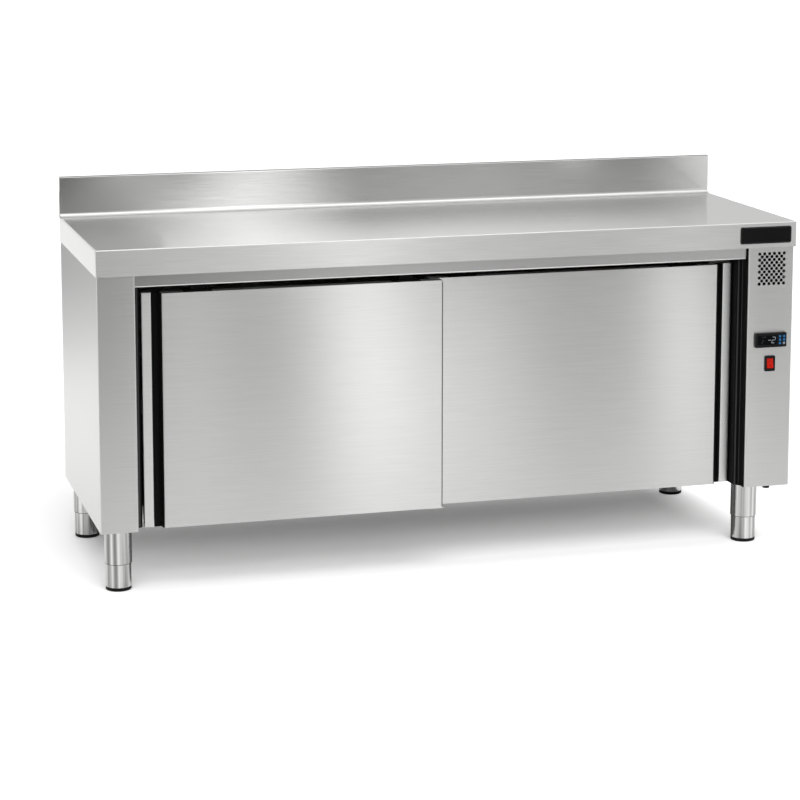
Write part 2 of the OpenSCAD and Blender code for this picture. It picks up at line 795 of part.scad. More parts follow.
// The switch: a bezel on the panel and a body behind it, hollowed for the rocker
module switch_housing() {
  opening = [rocker_w + 2 * rocker_play, rocker_h + 2 * rocker_play];
  color(black) difference() {
    union() {
      along_y(y_front - switch_proud, y_front) translate([x_control, z_switch])
        rounded(switch_w, switch_h, bezel_corner);
      along_y(y_front, y_front + switch_body) translate([x_control, z_switch]) square(switch_cut(0), center = true);
    }
    along_y(y_front - switch_proud - 1, y_rocker) translate([x_control, z_switch]) square(opening, center = true);
    translate([x_control, y_rocker, z_switch]) {
      bar_x(-opening[0] / 2, opening[0] / 2, opening[1]);
      bar_x(-rocker_w / 2 - pin_reach - pin_room, rocker_w / 2 + pin_reach + pin_room, rocker_pin + 2 * running_gap);
    }
  }
}

// The red rocker: round ends about its pin, and a face of two slopes
module rocker() {
  dip = rocker_rise - rocker_h / 2 * tan(rocker_tilt);
  half = rocker_h / 2;
  color("crimson") translate([x_control, y_rocker, z_switch]) rotate([-rocker_tilt, 0, 0]) {
    along_x(-rocker_w / 2, rocker_w / 2) intersection() {
      circle(d = rocker_h);
      polygon([[rocker_back, -rocker_h], [-rocker_rise, -half], [-dip, 0], [-rocker_rise, half],
        [rocker_back, rocker_h]]);
    }
    bar_x(-rocker_w / 2 - pin_reach, rocker_w / 2 + pin_reach, rocker_pin);
  }
}

// The bare badge plate on the apron
module badge_plate() {
  x = top_w / 2 - badge_inset - badge_w / 2;
  color(black) along_y(-top_d / 2 - badge_t, -top_d / 2) translate([x, z_apron + apron_h / 2])
    rounded(badge_w, badge_h, badge_corner);
}

// The cable gland through the base of the column, with its lock nut
module cable_gland() {
  nut = gland_thread + 2 * nut_rim;
  top = z_base + sheet + nut_h + thread_end;
  color(black) translate([x_gland, y_gland, 0]) difference() {
    union() {
      translate([0, 0, z_base - gland_drop]) cylinder(h = gland_drop - gland_collar, d = gland_thread + gland_body);
      translate([0, 0, z_base - gland_collar]) cylinder(h = gland_collar, d = nut);
      translate([0, 0, z_base]) cylinder(h = top - z_base, d = gland_thread);
      translate([0, 0, z_base + sheet]) cylinder(h = nut_h, d = nut, $fn = 6);
    }
    translate([0, 0, z_base - gland_drop - 1]) cylinder(h = top - z_base + gland_drop + 2, d = gland_bore);
  }
}

// The fan motor on its plate in the control column
module fan_motor() {
  half = motor_d / 2 + motor_rim;
  x0 = x_jamb_r + liner;
  x1 = x0 + motor_plate + motor_l;
  color("dimgray") translate([0, y_fan, z_fan]) difference() {
    union() {
      block([x0, -half, -half], [x0 + motor_plate, half, half]);
      bar_x(x0 + motor_plate, x1, motor_d);
      bar_x(x1, x1 + motor_cap, motor_d / 2);
    }
    bar_x(x0 - 1, x0 + motor_plate + motor_l / 2, shaft_d + 2 * running_gap);
  }
}

// Where the two sleeves of the heater pass the partition
module heater_tails() for (side = [-1, 1]) translate([0, side * tail_half, tail_z]) children();

// The ring heater round the impeller, open at the bottom between its two terminal sleeves
module heater_element() {
  x0 = (x_baffle + x_jamb_r) / 2;
  gap = 2 * asin(2 * tail_half / heater_d);
  color("dimgray") translate([0, y_fan, z_fan]) {
    translate([x0, 0, 0]) rotate([0, 90, 0]) rotate([0, 0, gap / 2]) rotate_extrude(angle = 360 - gap)
      translate([heater_d / 2, 0]) circle(d = heater_tube, $fn = 32);
    heater_tails() bar_x(x0 - sleeve_lead, x_jamb_r + liner + tail_l, sleeve_d);
  }
}

// The place of the temperature probe, high in the fan bay
module at_probe() translate([0, y_fan, z_ceiling - probe_drop]) children();

// The temperature probe with its collar on the partition
module temperature_probe() {
  x0 = x_jamb_r + liner;
  color(steel) at_probe() {
    bar_x(x_jamb_r - probe_l, x0, probe_d);
    bar_x(x0, x0 + probe_collar, 2 * probe_d);
    bar_x(x0 + probe_collar, x0 + 4 * probe_collar, probe_d);
  }
}

// The impeller on its shaft: a back plate, a hub and radial blades
module fan_impeller() {
  x0 = x_jamb_r - fan_back;
  hub_d = shaft_d + 2 * hub_wall;
  color("gainsboro") translate([0, y_fan, z_fan]) {
    bar_x(x0 - blade_l, x_jamb_r + liner + motor_l / 2, shaft_d);
    bar_x(x0 - blade_l, x0, hub_d);
    bar_x(x0 - fan_sheet, x0, impeller_d);
    for (k = [0:blades - 1]) rotate([360 * k / blades, 0, 0])
      block([x0 - blade_l, hub_d / 2 - 1, -fan_sheet / 2], [x0, impeller_d / 2 - 1, fan_sheet / 2]);
  }
}

// The groove along the lower edge of a door whose face lies at y, with the wall that lines it
module door_groove(y, wall) {
  middle = y + door_t / 2;
  half = groove_w / 2 + wall;
  block([-top_w, middle - half, z_door[0] - 1], [top_w, middle + half, z_door[0] + groove_h + wall]);
}

// The front sheet of a door, folded back on all sides and up into the guide groove
module door_skin(face, y) {
  back = y + door_t - liner;
  middle = y + door_t / 2;
  wall = groove_w / 2 + liner;
  path = [[face[1], back], [face[1], y], [face[0], y], [face[0], back]];
  color(steel) difference() {
    union() {
      along_z(z_door[0], z_door[1]) folded(path, liner, bend_r);
      for (z = [z_door[0], z_door[1] - liner])
        block([face[0] + liner, y + liner / 2, z], [face[1] - liner, back, z + liner]);
      block([face[0] + liner / 2, middle - wall, z_door[0]],
        [face[1] - liner / 2, middle + wall, z_door[0] + groove_h + liner]);
    }
    door_groove(y, 0);
  }
}

// The rear sheet of a door whose edge strip is on the left, with the strip's box folded from the same sheet
module door_back(face, y) {
  edge = face[0] - edge_w;
  strip = edge + strip_w;
  rear = y + door_t;
  front = y + strip_depth;
  path = [[strip, rear - liner], [strip, front], [edge, front], [edge, rear], [face[1], rear]];
  color(steel) {
    along_z(z_door[0], z_door[1]) folded(path, liner, bend_r);
    for (z = [z_door[0], z_door[1] - liner])
      block([edge + liner, front + liner, z], [strip - liner, rear - liner, z + liner]);
  }
}

// The rigid foam that fills a door
module door_core(face, y) {
  room = liner + fold_room;
  color("khaki") difference() {
    block([face[0] + room, y + room, z_door[0] + liner], [face[1] - room, y + door_t - liner, z_door[1] - liner]);
    door_groove(y, liner);
  }
}

// The black finger pull of a door: a bar with a quarter-round hollow for the fingers
module door_pull(face, y) {
  start = face[0] - pull_w;
  back = y + door_t - liner;
  color(black) difference() {
    along_z(z_door[0], z_door[1]) difference() {
      translate([start, y + bend_r + liner]) square([pull_w, back - y - bend_r - liner]);
      translate([start, y]) circle(pull_w - pull_edge);
    }
    door_groove(y, 0);
  }
}

// Where the hangers of a door stand
function hanger_x(face) = [face[0] + hanger_inset, face[1] - hanger_inset];

// The two hangers of a door, each a foot plate and a stem with a bore for the wheel axle
module door_hangers(face, y) {
  middle = y + door_t / 2;
  color(steel) for (x = hanger_x(face)) translate([x, middle, 0]) difference() {
    union() {
      block([-hanger_foot / 2, -hanger_foot_w / 2, z_door[1]],
        [hanger_foot / 2, hanger_foot_w / 2, z_door[1] + hanger_plate]);
      block([-stem_w / 2, -stem_t / 2, z_door[1]], [stem_w / 2, stem_t / 2, z_axle + axle_d / 2 + stem_rise]);
    }
    translate([0, 0, z_axle]) bar_y(-stem_t, stem_t, axle_d + 2 * running_gap);
  }
}

// A pair of hanger wheels on one axle, at place x on the door whose face lies at y
module roller(x, y) {
  inner = stem_t / 2 + clearance;
  color("ivory") translate([x, y + door_t / 2, z_axle]) {
    bar_y(-inner - wheel_w, inner + wheel_w, axle_d);
    for (side = [0, 1]) mirror([0, side, 0]) bar_y(inner, inner + wheel_w, wheel_d);
  }
}

// The right door is a left door seen in a mirror, so its face is given from right to left
module mirrored() mirror([1, 0, 0]) children();
face_m = [-face_r[1], -face_r[0]];

worktop();
worktop_stiffeners();
left_panel();
right_panel();
control_panel();
back_panel();
base_tray();
door_header();
track_carrier();
door_track();
bottom_guide();
jamb_seals();
chamber_floor();
chamber_left_wall();
chamber_rear_wall();
chamber_ceiling();
partition();
air_baffle();
mid_shelf();
shelf_rails();
insulation();
leg_tubes();
controller_case();
controller_window();
switch_housing();
badge_plate();
cable_gland();
fan_motor();
heater_element();
temperature_probe();
door_skin(face_l, y_door_l);  // left_door_skin
door_back(face_l, y_door_l);  // left_door_back
door_core(face_l, y_door_l);  // left_door_core
door_pull(face_l, y_door_l);  // left_door_pull
door_hangers(face_l, y_door_l);  // left_door_hangers
mirrored() door_skin(face_m, y_door_r);  // right_door_skin
mirrored() door_back(face_m, y_door_r);  // right_door_back
mirrored() door_core(face_m, y_door_r);  // right_door_core
mirrored() door_pull(face_m, y_door_r);  // right_door_pull
mirrored() door_hangers(face_m, y_door_r);  // right_door_hangers
roller(hanger_x(face_l)[0], y_door_l);  // left_roller_outer
roller(hanger_x(face_l)[1], y_door_l);  // left_roller_inner
roller(hanger_x(face_r)[0], y_door_r);  // right_roller_inner
roller(hanger_x(face_r)[1], y_door_r);  // right_roller_outer
foot(0, 0);  // foot_front_left
foot(1, 0);  // foot_front_right
foot(0, 1);  // foot_rear_left
foot(1, 1);  // foot_rear_right
pad(0, 0);  // pad_front_left
pad(1, 0);  // pad_front_right
pad(0, 1);  // pad_rear_left
pad(1, 1);  // pad_rear_right
rocker();
fan_impeller();
key(1);  // key_1
key(2);  // key_2
key(3);  // key_3
key(4);  // key_4
key(5);  // key_5
key(6);  // key_6
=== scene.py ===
"""Finishes, small fittings, studio and camera for the hot cupboard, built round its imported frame."""
import json
import math

import bpy
from mathutils import Matrix, Vector


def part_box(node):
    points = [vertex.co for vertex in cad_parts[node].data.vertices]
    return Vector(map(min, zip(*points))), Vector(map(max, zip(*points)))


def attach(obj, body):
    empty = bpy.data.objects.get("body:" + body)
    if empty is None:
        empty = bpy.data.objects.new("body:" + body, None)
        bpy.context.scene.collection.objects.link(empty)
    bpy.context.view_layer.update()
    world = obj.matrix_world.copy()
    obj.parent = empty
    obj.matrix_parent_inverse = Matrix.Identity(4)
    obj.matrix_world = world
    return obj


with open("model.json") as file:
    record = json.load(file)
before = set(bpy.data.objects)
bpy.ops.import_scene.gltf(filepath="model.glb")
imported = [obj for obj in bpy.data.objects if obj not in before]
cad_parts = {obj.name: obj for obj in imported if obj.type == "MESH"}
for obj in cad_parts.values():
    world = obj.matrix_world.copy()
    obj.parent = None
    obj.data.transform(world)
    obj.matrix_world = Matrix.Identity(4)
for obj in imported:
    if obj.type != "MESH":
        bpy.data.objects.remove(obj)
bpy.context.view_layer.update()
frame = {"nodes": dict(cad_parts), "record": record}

MM = 0.001
SIDES = ("left", "right")
CORNERS = ("front_left", "front_right", "rear_left", "rear_right")
nodes = frame["nodes"]
record = frame["record"]
scene = bpy.context.scene
scene.view_settings.view_transform = "Standard"


def named(rows, name):
    """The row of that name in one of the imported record's lists."""
    return next(row for row in rows if row["name"] == name)


def linear(hex_colour):
    """A linear RGBA colour from an sRGB hex value such as "#c8c8c6"."""
    channels = [int(hex_colour[i:i + 2], 16) / 255 for i in (1, 3, 5)]
    return [c / 12.92 if c <= 0.04045 else ((c + 0.055) / 1.055) ** 2.4 for c in channels] + [1.0]


WHITE = linear("#ffffff")


def add(tree, kind, inputs=(), **settings):
    """Adds one node, sets its properties, then sets each input to a value or links it from an output."""
    made = tree.nodes.new(kind)
    for name, value in settings.items():
        setattr(made, name, value)
    for key, value in dict(inputs).items():
        if isinstance(value, bpy.types.NodeSocket):
            tree.links.new(value, made.inputs[key])
        else:
            made.inputs[key].default_value = value
    return made


def empty_material(name):
    """A material with an empty tree."""
    made = bpy.data.materials.new(name)
    made.use_nodes = True
    made.node_tree.nodes.clear()
    return made, made.node_tree


def new_material(name, colour, metallic, roughness, sockets):
    """A material whose shader holds its constant values on its own sockets."""
    made, tree = empty_material(name)
    values = {"Base Color": linear(colour), "Metallic": metallic, "Roughness": roughness, **sockets}
    shader = add(tree, "ShaderNodeBsdfPrincipled", values)
    add(tree, "ShaderNodeOutputMaterial", {"Surface": shader.outputs["BSDF"]})
    return made, tree, shader


def wear(tree, shader, pattern, colours, roughness, bump_mm, strength):
    """Lets one pattern vary the colour between two hex values, the roughness and the surface's height."""
    dark, light = (linear(colour) for colour in colours)
    mix = add(tree, "ShaderNodeMix", {0: pattern, 6: dark, 7: light}, data_type="RGBA")
    tree.links.new(mix.outputs[2], shader.inputs["Base Color"])
    least, most = roughness
    rough = add(tree, "ShaderNodeMapRange", {"Value": pattern, "To Min": least, "To Max": most})
    tree.links.new(rough.outputs["Result"], shader.inputs["Roughness"])
    bump = add(tree, "ShaderNodeBump", {"Strength": strength, "Distance": bump_mm * MM, "Height": pattern})
    tree.links.new(bump.outputs["Normal"], shader.inputs["Normal"])


# Faces that look along X by more than this share are the ends of the cabinet
END_FACING = 0.7
SCRATCH_DEPTH_MM, SCRATCH_STRENGTH = 0.006, 0.25
# A slight lean of the streaks, which gives them a direction on faces that look straight along them
STREAK_LEAN = 0.02


def facing_x(tree):
    """How squarely a face looks along X, either way: 1 on an end, 0 on a front or a top."""
    normal = add(tree, "ShaderNodeNewGeometry").outputs["True Normal"]
    along_x = add(tree, "ShaderNodeSeparateXYZ", {0: normal}).outputs["X"]
    return add(tree, "ShaderNodeMath", {0: along_x}, operation="ABSOLUTE").outputs[0]


def brushed_metal(name, colours, roughness, anisotropy, scratch_mm=1.9, length_mm=110, upright=False,
                  upright_ends=False, contrast=1.0):
    """Brushed metal, whose scratches spread each reflection into a streak across them.

    The real scratches are about 0.1 mm apart; they are drawn coarser, so that they show.
    """
    made, tree, shader = new_material(name, colours[0], 1.0, roughness[0], {"Anisotropic": anisotropy})
    place = add(tree, "ShaderNodeTexCoord").outputs["Object"]
    facing = facing_x(tree)
    is_end = add(tree, "ShaderNodeMath", {0: facing, 1: END_FACING}, operation="GREATER_THAN").outputs[0]
    along, across = 1 / (length_mm * MM), 1 / (scratch_mm * MM)
    standing = (across, across, along)
    front_scale = standing if upright else (along, across, across)
    end_scale = standing if upright_ends else (across, along, across)
    fronts = add(tree, "ShaderNodeVectorMath", {0: place, 1: front_scale}, operation="MULTIPLY").outputs[0]
    ends = add(tree, "ShaderNodeVectorMath", {0: place, 1: end_scale}, operation="MULTIPLY").outputs[0]
    grain = add(tree, "ShaderNodeMix", {0: is_end, 4: fronts, 5: ends}, data_type="VECTOR").outputs[1]
    scratches = add(tree, "ShaderNodeTexNoise", {"Vector": grain, "Scale": 1.0, "Detail": 3.0})
    reach = 0.5 / contrast
    pattern = add(tree, "ShaderNodeMapRange", {"Value": scratches.outputs["Fac"], "From Min": 0.5 - reach,
                                               "From Max": 0.5 + reach}).outputs["Result"]
    wear(tree, shader, pattern, colours, roughness, SCRATCH_DEPTH_MM, SCRATCH_STRENGTH)
    front_streak = {"X": 1.0, "Y": STREAK_LEAN} if upright else {"Y": STREAK_LEAN, "Z": 1.0}
    end_streak = {"Y": 1.0, "Z": STREAK_LEAN} if upright_ends else front_streak
    fronts_way = add(tree, "ShaderNodeCombineXYZ", front_streak).outputs[0]
    ends_way = add(tree, "ShaderNodeCombineXYZ", end_streak).outputs[0]
    streak = add(tree, "ShaderNodeMix", {0: is_end, 4: fronts_way, 5: ends_way}, data_type="VECTOR")
    tree.links.new(streak.outputs[1], shader.inputs["Tangent"])
    return made


def refinish(material, tests, colour=None, roughness=None, metallic=None):
    """Changes a finish where every test holds.

    A test is a measure, a comparison and a limit.
    The measure is "X", "Y" or "Z" for a place, or "facing X" for the way a face looks.
    """
    tree = material.node_tree
    shader = next(node for node in tree.nodes if node.type == "BSDF_PRINCIPLED")
    place = add(tree, "ShaderNodeTexCoord").outputs["Object"]
    places = add(tree, "ShaderNodeSeparateXYZ", {0: place}).outputs
    inside = 1.0
    for measure, comparison, limit in tests:
        value = facing_x(tree) if measure == "facing X" else places[measure]
        test = add(tree, "ShaderNodeMath", {0: value, 1: limit}, operation=comparison).outputs[0]
        inside = add(tree, "ShaderNodeMath", {0: inside, 1: test}, operation="MULTIPLY").outputs[0]
    if colour:
        bare = shader.inputs["Base Color"].links[0].from_socket
        mixed = add(tree, "ShaderNodeMix", {0: inside, 6: bare, 7: linear(colour)}, data_type="RGBA")
        tree.links.new(mixed.outputs[2], shader.inputs["Base Color"])
    if roughness is not None:
        fine = shader.inputs["Roughness"].links[0].from_socket
        gloss = add(tree, "ShaderNodeMix", {0: inside, 2: fine, 3: roughness}, data_type="FLOAT")
        tree.links.new(gloss.outputs[0], shader.inputs["Roughness"])
    if metallic is not None:
        metal = add(tree, "ShaderNodeMix", {0: inside, 2: 1.0, 3: metallic}, data_type="FLOAT")
        tree.links.new(metal.outputs[0], shader.inputs["Metallic"])


def speckled(name, colours, roughness, grain_mm, bump_mm, strength, metallic=0.0, specular=0.5, sockets=()):
    """A moulded, cast or fibrous surface: an even grain of one real size."""
    values = {"Specular IOR Level": specular, **dict(sockets)}
    made, tree, shader = new_material(name, colours[0], metallic, roughness[0], values)
    place = add(tree, "ShaderNodeTexCoord").outputs["Object"]
    grain = add(tree, "ShaderNodeTexNoise", {"Vector": place, "Scale": 1 / (grain_mm * MM), "Detail": 2.0})
    wear(tree, shader, grain.outputs["Fac"], colours, roughness, bump_mm, strength)
    return made


def glowing(colour, strength):
    """The shader's values for a surface that is lit from behind."""
    return {"Emission Color": linear(colour), "Emission Strength": strength}


def silicone(name, colours, glow):
    """Moulded silicone over a lamp."""
    return speckled(name, colours, (0.42, 0.5), grain_mm=0.6, bump_mm=0.01, strength=0.2, specular=0.2,
                    sockets=glowing(colours[0], glow))


def printed(name, colours, roughness=(0.5, 0.6), specular=0.1, sockets=()):
    """A thin print, almost without relief."""
    return speckled(name, colours, roughness, grain_mm=0.5, bump_mm=0.002, strength=0.1, specular=specular,
                    sockets=sockets)


def dress(material, *names):
    """Gives CAD nodes a finish through their objects' material slots."""
    for name in names:
        nodes[name].material_slots[0].material = material


# Worktop: austenitic sheet, belt-brushed to a fine satin, the lightest steel of the cabinet. Its grain runs
# along the top, so it is upright on the ends that are folded down, and they mirror the whole room
worktop_steel = brushed_metal("satin_austenitic_stainless", ("#bebebd", "#d6d6d5"), (0.14, 0.18),
                              anisotropy=1.0, upright_ends=True)
# The aprons are blended by hand after folding, so their gloss is broader. Their ends are painted lighter, a
# painted highlight for the bright room that they mirror. The fold along the head of the upstand is duller,
# and painted greyer, a painted shade along that top edge
APRON_DROP_MM, HEAD_FOLD_MM = 2.0, 1.5
top_low, top_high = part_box("worktop")
work_z = named(record["mounts"], "work_surface")["pos_m"][2]
below_top = ("Z", "LESS_THAN", work_z - APRON_DROP_MM * MM)
on_ends = ("facing X", "GREATER_THAN", END_FACING)
on_head = ("Z", "GREATER_THAN", top_high.z - HEAD_FOLD_MM * MM)
refinish(worktop_steel, [below_top], roughness=0.42)
refinish(worktop_steel, [below_top, on_ends], colour="#ececeb")
refinish(worktop_steel, [on_head], colour="#9c9c9b", roughness=0.5)
dress(worktop_steel, "worktop", "worktop_stiffeners")

# Body and doors: ferritic sheet, belt-brushed, a shade darker than the worktop
FERRITIC = {"colours": ("#b5b5b4", "#cdcdcc"), "roughness": (0.26, 0.32), "anisotropy": 0.9,
            "contrast": 0.7}
body_steel = brushed_metal("satin_ferritic_stainless", **FERRITIC)
dress(body_steel, "right_panel", "back_panel", "base_tray", "track_carrier", "bottom_guide",
      *(f"{side}_door_skin" for side in SIDES))

# Front panels: the same sheet, with a painted shade inside the door jambs: black and not metal there
JAMBS_X, JAMBS_Y = (-0.8068, 0.7703), -0.2945
jamb_shade_zone = [("X", "GREATER_THAN", JAMBS_X[0]), ("X", "LESS_THAN", JAMBS_X[1]),
            ("Y", "GREATER_THAN", JAMBS_Y)]
panel_steel = brushed_metal("satin_ferritic_stainless_with_painted_jamb_shade", **FERRITIC)
refinish(panel_steel, jamb_shade_zone, colour="#0b0b0c", metallic=0.0)
dress(panel_steel, "left_panel", "control_panel")

# Rear sheets of the doors, whose folded edges show beside the pulls: the same sheet, painted a shade
# lighter, a painted highlight that keeps those edges bright
edge_steel = brushed_metal("satin_ferritic_stainless_edges", ("#c6c6c5", "#d6d6d5"), (0.3, 0.36),
                           anisotropy=0.8)
dress(edge_steel, *(f"{side}_door_back" for side in SIDES))

# Fascia: the same sheet cut across its grain, so that it mirrors one level band and stays darker
fascia_steel = brushed_metal("cross_cut_ferritic_stainless", ("#c6c6c5", "#cececd"), (0.26, 0.32),
                             anisotropy=0.75, upright=True)
dress(fascia_steel, "door_header")

# Door hangers: steel coloured black and matt, a painted shade that keeps the slot over the doors black
slot_shade_steel = speckled("black_steel_painted_slot_shade", ("#060606", "#0a0a0a"), (0.6, 0.72), grain_mm=2,
                     bump_mm=0.01, strength=0.2, specular=0.1)
dress(slot_shade_steel, *(f"{side}_door_hangers" for side in SIDES))

# Leg tubes, feet and probe, drawn and polished along the tube: bright, with darker streaks down it. The
# streaks are polish marks, drawn with a strong contrast that partly stands as a painted reflection
tube_steel = brushed_metal("drawn_stainless_tube", ("#565655", "#dcdcdb"), (0.12, 0.24), anisotropy=0.5,
                           scratch_mm=12, length_mm=900, upright=True, upright_ends=True, contrast=2.2)
dress(tube_steel, "leg_tubes", *(f"foot_{corner}" for corner in CORNERS), "temperature_probe")

# Chamber lining, cold-rolled and not brushed: duller and cloudy
lining_steel = speckled("cold_rolled_stainless", ("#b4b4b3", "#bcbcbb"), (0.36, 0.46), grain_mm=14,
                        bump_mm=0.01, strength=0.2, metallic=1.0)
dress(lining_steel, "chamber_floor", "chamber_left_wall", "chamber_rear_wall", "chamber_ceiling",
      "partition", "air_baffle", "mid_shelf", "shelf_rails")

# Impeller: aluminium with fine drawn lines, duller than the steel
aluminium = brushed_metal("drawn_aluminium", ("#c4c5c7", "#cfd0d2"), (0.38, 0.46), anisotropy=0.4,
                          scratch_mm=0.9, length_mm=300)
dress(aluminium, "fan_impeller")

# Door track: aluminium coloured black and matt, a painted shade that keeps the slot over the doors dark
slot_shade_aluminium = speckled("black_aluminium_painted_slot_shade", ("#0b0b0c", "#101011"), (0.5, 0.6), grain_mm=1.5,
                    bump_mm=0.01, strength=0.2, specular=0.15)
dress(slot_shade_aluminium, "door_track")

# Fan motor: black stove enamel with a slight orange peel
enamel = speckled("black_stove_enamel", ("#1d1e20", "#242527"), (0.3, 0.38), grain_mm=2.5, bump_mm=0.02,
                  strength=0.2)
dress(enamel, "fan_motor")

# Heater sheath: steel tinted brown by heat
heat_tinted = speckled("heat_tinted_sheath", ("#4a463f", "#5d564a"), (0.45, 0.6), grain_mm=6, bump_mm=0.02,
                       strength=0.3, metallic=1.0)
dress(heat_tinted, "heater_element")

# Mineral wool: matted fibres that show only when the sheets are off
mineral_wool = speckled("mineral_wool", ("#a8924f", "#cdb878"), (0.9, 1.0), grain_mm=3, bump_mm=1.2,
                        strength=0.6)
dress(mineral_wool, "insulation", *(f"{side}_door_core" for side in SIDES))

# Finger pulls and gland: black ABS with a fine moulded grain
black_abs = speckled("black_abs", ("#020202", "#050505"), (0.44, 0.54), grain_mm=0.8, bump_mm=0.01,
                     strength=0.25, specular=0.08)
dress(black_abs, *(f"{side}_door_pull" for side in SIDES), "cable_gland")

# Foot pads: black rubber, dull and slightly dusty
pad_rubber = speckled("black_rubber", ("#060606", "#0b0b0b"), (0.6, 0.78), grain_mm=1.4, bump_mm=0.03,
                      strength=0.3, specular=0.2)
dress(pad_rubber, *(f"pad_{corner}" for corner in CORNERS))

# Jamb seals: extruded rubber, deep black in the shade of the jambs
seal_rubber = speckled("black_extruded_rubber", ("#040404", "#080808"), (0.62, 0.74), grain_mm=1.2,
                       bump_mm=0.02, strength=0.2, specular=0.15)
dress(seal_rubber, "jamb_seals")

# Wheels: cream nylon with a waxy look
WAXY = {"Subsurface Weight": 0.1, "Subsurface Radius": (0.002, 0.002, 0.0015)}
nylon = speckled("cream_nylon", ("#ded9c9", "#e6e2d4"), (0.38, 0.46), grain_mm=1.2, bump_mm=0.01,
                 strength=0.2, sockets=WAXY)
dress(nylon, *(f"{side}_roller_{end}" for side in SIDES for end in ("inner", "outer")))

# Controller and switch housings: black polycarbonate with a soft gloss
polycarbonate = speckled("black_polycarbonate", ("#060708", "#0a0b0c"), (0.24, 0.32), grain_mm=0.7,
                         bump_mm=0.008, strength=0.2, specular=0.16)
dress(polycarbonate, "controller_case", "switch_housing")

# Badge plate: black lacquer on metal, glossy
lacquer = speckled("black_lacquer", ("#070708", "#0b0b0c"), (0.18, 0.24), grain_mm=3, bump_mm=0.006,
                   strength=0.15, specular=0.16)
dress(lacquer, "badge_plate")

# Display window: smoked acrylic, almost black and mirror-smooth
smoked = speckled("smoked_acrylic", ("#06080a", "#090b0d"), (0.07, 0.1), grain_mm=5, bump_mm=0.004,
                  strength=0.1, specular=0.16)
dress(smoked, "controller_window")

# Keys: lit silicone, five blue and one pale
blue_key = silicone("blue_silicone", ("#1a5785", "#1f6296"), glow=0.15)
dress(blue_key, *(f"key_{n}" for n in range(1, 6)))
pale_key = silicone("pale_silicone", ("#73808a", "#7c8a94"), glow=0.05)
dress(pale_key, "key_6")

# Rocker: red polycarbonate over a neon lamp, glossy and faintly lit
red_lens = speckled("red_polycarbonate", ("#a01206", "#aa1809"), (0.2, 0.28), grain_mm=0.9, bump_mm=0.008,
                    strength=0.2, specular=0.1, sockets=glowing("#b01406", 0.12))
dress(red_lens, "rocker")

# Lit and printed marks: a pale lit figure, grey dots beside it, a fine line on the badge, and a dark print
# on the rocker
lit_white = printed("lit_segment", ("#98a2a8", "#a2acb2"), sockets=glowing("#98a2a8", 0.2))
dot_grey = printed("grey_print", ("#6a6f74", "#74797e"))
line_grey = printed("grey_lacquer_line", ("#3a3a3b", "#424243"), roughness=(0.4, 0.5), specular=0.2)
dark_print = printed("dark_print", ("#3c0b06", "#440e08"))


def plate_mesh(name, outlines, y, depth):
    """A mesh of flat plates from outlines in X and Z, from y back over the depth."""
    points, faces = [], []
    for outline in outlines:
        first, count = len(points), len(outline)
        points += [(x, y, z) for x, z in outline] + [(x, y + depth, z) for x, z in outline]
        faces.append([first + i for i in range(count)])
        faces.append([first + count + i for i in reversed(range(count))])
        for i in range(count):
            j = (i + 1) % count
            faces.append([first + j, first + i, first + count + i, first + count + j])
    mesh = bpy.data.meshes.new(name)
    mesh.from_pydata(points, [], faces)
    return mesh


def fitting(mesh, material, body):
    """A small piece of the scene's own, which rides on a body."""
    mesh.materials.append(material)
    piece = bpy.data.objects.new(mesh.name, mesh)
    scene.collection.objects.link(piece)
    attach(piece, body)


def bar(start, end, half):
    """The outline of a segment with pointed ends between two points, in X and Z."""
    s, e = Vector(start), Vector(end)
    way = (e - s).normalized()
    side = Vector((-way.y, way.x)) * half
    tip = way * half
    return [tuple(p) for p in (s, s + tip + side, e - tip + side, e, e - tip - side, s + tip - side)]


def dot(x, z, radius, sides=12):
    """The outline of a round mark."""
    turn = 2 * math.pi / sides
    return [(x + radius * math.cos(i * turn), z + radius * math.sin(i * turn)) for i in range(sides)]


def oblong(x_range, z_range):
    """The outline of a rectangle between two X and two Z places."""
    (left, right), (foot, head) = x_range, z_range
    return [(left, foot), (right, foot), (right, head), (left, head)]


def rounded_outline(low, high, inset, radius, steps=6):
    """The outline of a rounded rectangle inside a box, in X and Z."""
    corner = radius - inset
    left, right, foot, head = low.x + radius, high.x - radius, low.z + radius, high.z - radius
    points = []
    for x, z, start in ((right, head, 0), (left, head, 1), (left, foot, 2), (right, foot, 3)):
        for i in range(steps + 1):
            angle = (start + i / steps) * math.pi / 2
            points.append((x + corner * math.cos(angle), z + corner * math.sin(angle)))
    return points


def band(outer, inner):
    """The outlines of the pieces between two closed outlines of as many points."""
    return [[outer[i - 1], outer[i], inner[i], inner[i - 1]] for i in range(len(outer))]


# The seven segments of a figure between the corners of its cell, and those of each figure shown
CELL = {"a": ((0, 1), (1, 1)), "b": ((1, 1), (1, 0)), "c": ((1, 0), (1, -1)), "d": ((0, -1), (1, -1)),
        "e": ((0, 0), (0, -1)), "f": ((0, 1), (0, 0)), "g": ((0, 0), (1, 0))}
SEGMENTS = {"2": "abged", "-": "g"}
FIGURE_MM, SLANT, STROKE_MM = (8.0, 15.0), 0.18, 0.45


def digit(figure, x, z):
    """The segments of one slanted figure whose middle is at x and z."""
    width, half = FIGURE_MM[0] * MM, FIGURE_MM[1] / 2 * MM

    def place(u, v):
        return x + (u - 0.5) * width + v * half * SLANT, z + v * half

    return [bar(place(*CELL[name][0]), place(*CELL[name][1]), STROKE_MM * MM) for name in SEGMENTS[figure]]


